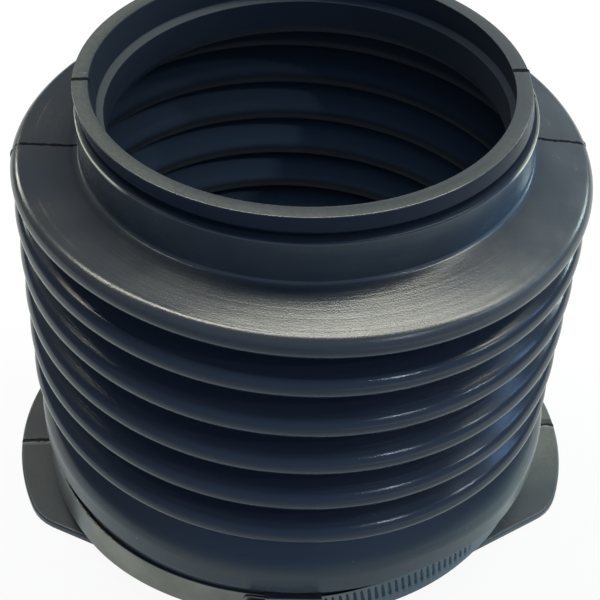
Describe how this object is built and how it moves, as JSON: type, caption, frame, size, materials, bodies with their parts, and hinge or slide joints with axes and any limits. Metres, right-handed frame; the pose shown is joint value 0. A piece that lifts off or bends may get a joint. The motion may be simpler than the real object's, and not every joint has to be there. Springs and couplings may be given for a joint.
{
  "type": "rubber bellows boot",
  "caption": "Round rubber bellows boot: plain neck with a clamp groove, wide shoulder, stacked convolutions, eared base flange and a worm-drive hose clamp round the base.",
  "frame": {"origin": "on the axis of the bellows, at the base face of the flange", "axes": "+Z along the axis from the base up to the mouth; X through the two ears; the clamp's screw is on the -Y side"},
  "size_m": [0.1976, 0.18, 0.1573],
  "materials": {
    "rubber": "satin",
    "clamp_steel": "satin",
    "screw_steel": "satin"
  },
  "bodies": {
    "root": {"bellows": "rubber", "clamp_band": "clamp_steel", "clamp_housing": "clamp_steel", "clamp_screw": "screw_steel"}
  },
  "joints": []
}
